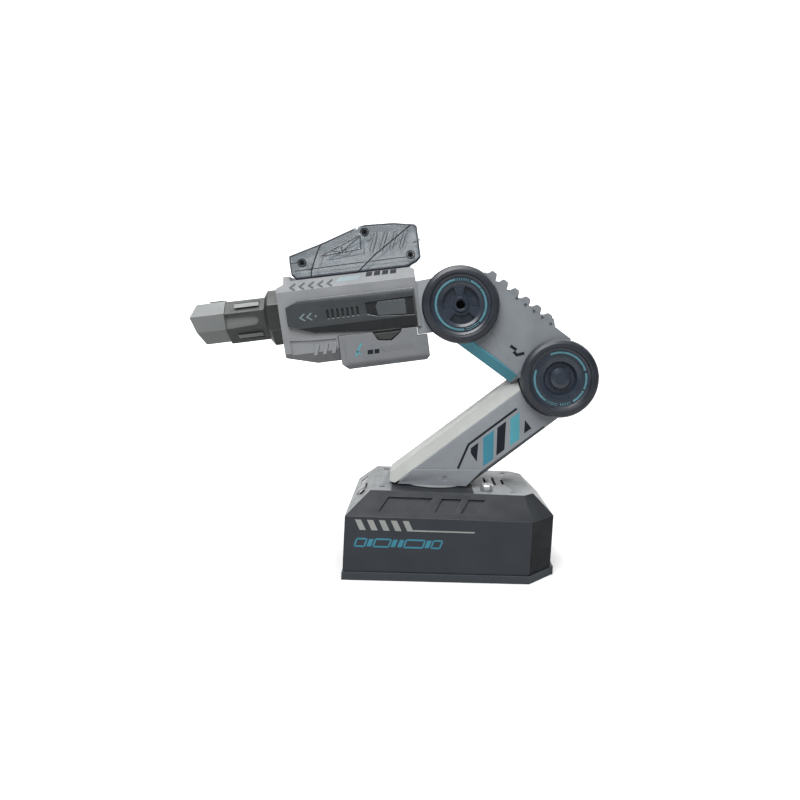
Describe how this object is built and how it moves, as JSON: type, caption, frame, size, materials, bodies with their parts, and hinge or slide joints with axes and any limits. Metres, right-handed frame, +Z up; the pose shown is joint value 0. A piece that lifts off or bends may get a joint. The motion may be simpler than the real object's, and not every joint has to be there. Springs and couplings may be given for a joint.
{
  "type": "desktop robot arm",
  "caption": "Desktop toy robot arm: hipped dark base, yaw turntable, two-link folding arm with round joint covers, and a tilting pellet launcher head with a clear hopper.",
  "frame": {"origin": "centre of the base underside", "axes": "+Z up, the head points to -X at rest, -Y is the side seen in the reference view"},
  "size_m": [0.389, 0.1456, 0.3282],
  "materials": {
    "shell_dark": "fine moulded texture",
    "shell_grey": "satin moulded",
    "arm_grey": "satin moulded",
    "head_grey": "satin moulded",
    "spine_white": "satin moulded",
    "panel_dark": "fine moulded texture",
    "rim_black": "satin rubber",
    "dish_dark": "semi-gloss",
    "light_ring": "diffusing",
    "accent_cyan": "satin paint",
    "clear_smoke": "clear, smoke tinted",
    "steel": "ground",
    "screw_black": "black oxide",
    "gear_plastic": "natural acetal",
    "bronze": "sintered",
    "pad_rubber": "matt",
    "board_green": "solder mask",
    "battery_wrap": "wrapped cells",
    "muzzle_grey": "satin moulded",
    "knob_silver": "metallised",
    "window_black": "gloss"
  },
  "bodies": {
    "base": {"base_plate": "shell_dark", "battery_door": "shell_dark", "foot_pads": "pad_rubber", "base_shell": "shell_dark", "end_cover_left": "shell_grey", "end_cover_right": "shell_grey", "base_screws": "screw_black", "main_board": "board_green", "speaker": "panel_dark", "yaw_motor": "steel", "bearing_ring": "gear_plastic", "battery_pack": "battery_wrap", "sensor_window": "window_black"},
    "yaw_pinion": {"yaw_pinion": "gear_plastic"},
    "power_rocker": {"power_rocker": "window_black"},
    "push_button": {"push_button": "window_black"},
    "mode_knob": {"mode_knob": "knob_silver"},
    "lower_arm": {"turntable_disc": "head_grey", "turntable_gear": "gear_plastic", "arm_shoe": "arm_grey", "lower_arm_shell_near": "arm_grey", "lower_arm_shell_far": "arm_grey", "lower_arm_spine": "spine_white", "elbow_motor": "steel", "elbow_bushes": "bronze"},
    "elbow_pinion": {"elbow_pinion": "gear_plastic"},
    "upper_arm": {"upper_arm_shell_near": "arm_grey", "upper_arm_shell_far": "arm_grey", "accent_strips": "accent_cyan", "elbow_axle": "steel", "wrist_axle": "screw_black", "elbow_gear": "gear_plastic", "wrist_gear": "gear_plastic", "wrist_rims": "rim_black", "elbow_rims": "rim_black", "wrist_dishes": "dish_dark", "elbow_dishes": "dish_dark", "wrist_rings": "light_ring", "elbow_rings": "light_ring", "wrist_caps": "dish_dark", "elbow_caps": "dish_dark"},
    "head": {"wrist_yoke": "arm_grey", "wrist_bushes": "bronze", "wrist_motor": "steel", "head_shell_near": "head_grey", "head_shell_far": "head_grey", "side_panel_near": "panel_dark", "side_panel_far": "panel_dark", "launcher_gearbox": "gear_plastic", "feed_tube": "gear_plastic", "barrel_collar": "panel_dark", "barrel_shroud": "panel_dark", "muzzle": "muzzle_grey", "hopper_shell": "clear_smoke", "hopper_screws": "screw_black"},
    "wrist_pinion": {"wrist_pinion": "gear_plastic"},
    "hopper_lid": {"hopper_lid": "clear_smoke"},
    "battery_module": {"battery_module": "head_grey"},
    "release_tab": {"release_tab": "panel_dark"}
  },
  "joints": [
    {"name": "turntable_yaw", "type": "hinge", "parent": "base", "child": "lower_arm", "pos_m": [-0.018, 0, 0.08], "axis": [0, 0, 1], "range_deg": [-135, 135]},
    {"name": "elbow", "type": "hinge", "parent": "lower_arm", "child": "upper_arm", "pos_m": [0.097, 0, 0.1905], "axis": [0, 1, 0], "range_deg": [0, 100]},
    {"name": "wrist", "type": "hinge", "parent": "upper_arm", "child": "head", "pos_m": [-0.0025, 0, 0.255], "axis": [0, 1, 0], "range_deg": [-25, 45]},
    {"name": "yaw_pinion_spin", "type": "hinge", "parent": "base", "child": "yaw_pinion", "pos_m": [-0.0615, 0, 0.057], "axis": [0, 0, 1], "range_deg": [-520, 520]},
    {"name": "elbow_pinion_spin", "type": "hinge", "parent": "lower_arm", "child": "elbow_pinion", "pos_m": [0.08338, -0.0055, 0.16719], "axis": [0, 1, 0], "range_deg": [-202, 2]},
    {"name": "wrist_pinion_spin", "type": "hinge", "parent": "head", "child": "wrist_pinion", "pos_m": [-0.02905, -0.0055, 0.25008], "axis": [0, 1, 0], "range_deg": [-52, 92]},
    {"name": "rocker_tilt", "type": "hinge", "parent": "base", "child": "power_rocker", "pos_m": [-0.08568, -0.012, 0.06658], "axis": [-0.7246, 0, -0.6892], "range_deg": [-7, 7]},
    {"name": "button_press", "type": "slide", "parent": "base", "child": "push_button", "axis": [0.6892, 0, -0.7246], "range_m": [0, 0.0015], "stiffness_N_per_m": 250},
    {"name": "knob_turn", "type": "hinge", "parent": "base", "child": "mode_knob", "pos_m": [0.0325, -0.0375, 0.0785], "axis": [0, 0, 1], "range_deg": [-140, 140]},
    {"name": "lid_flip", "type": "hinge", "parent": "head", "child": "hopper_lid", "pos_m": [-0.10278, 0, 0.32083], "axis": [0, -1, 0], "range_deg": [0, 95]},
    {"name": "module_pull", "type": "slide", "parent": "head", "child": "battery_module", "axis": [0.1822, 0, -0.9833], "range_m": [0, 0.035]},
    {"name": "tab_press", "type": "slide", "parent": "battery_module", "child": "release_tab", "axis": [0, 1, 0], "range_m": [0, 0.0015], "stiffness_N_per_m": 250}
  ],
  "couplings": [
    {"joint": "yaw_pinion_spin", "follows": "turntable_yaw", "ratio": -3.8333},
    {"joint": "elbow_pinion_spin", "follows": "elbow", "ratio": -2},
    {"joint": "wrist_pinion_spin", "follows": "wrist", "ratio": 2}
  ]
}
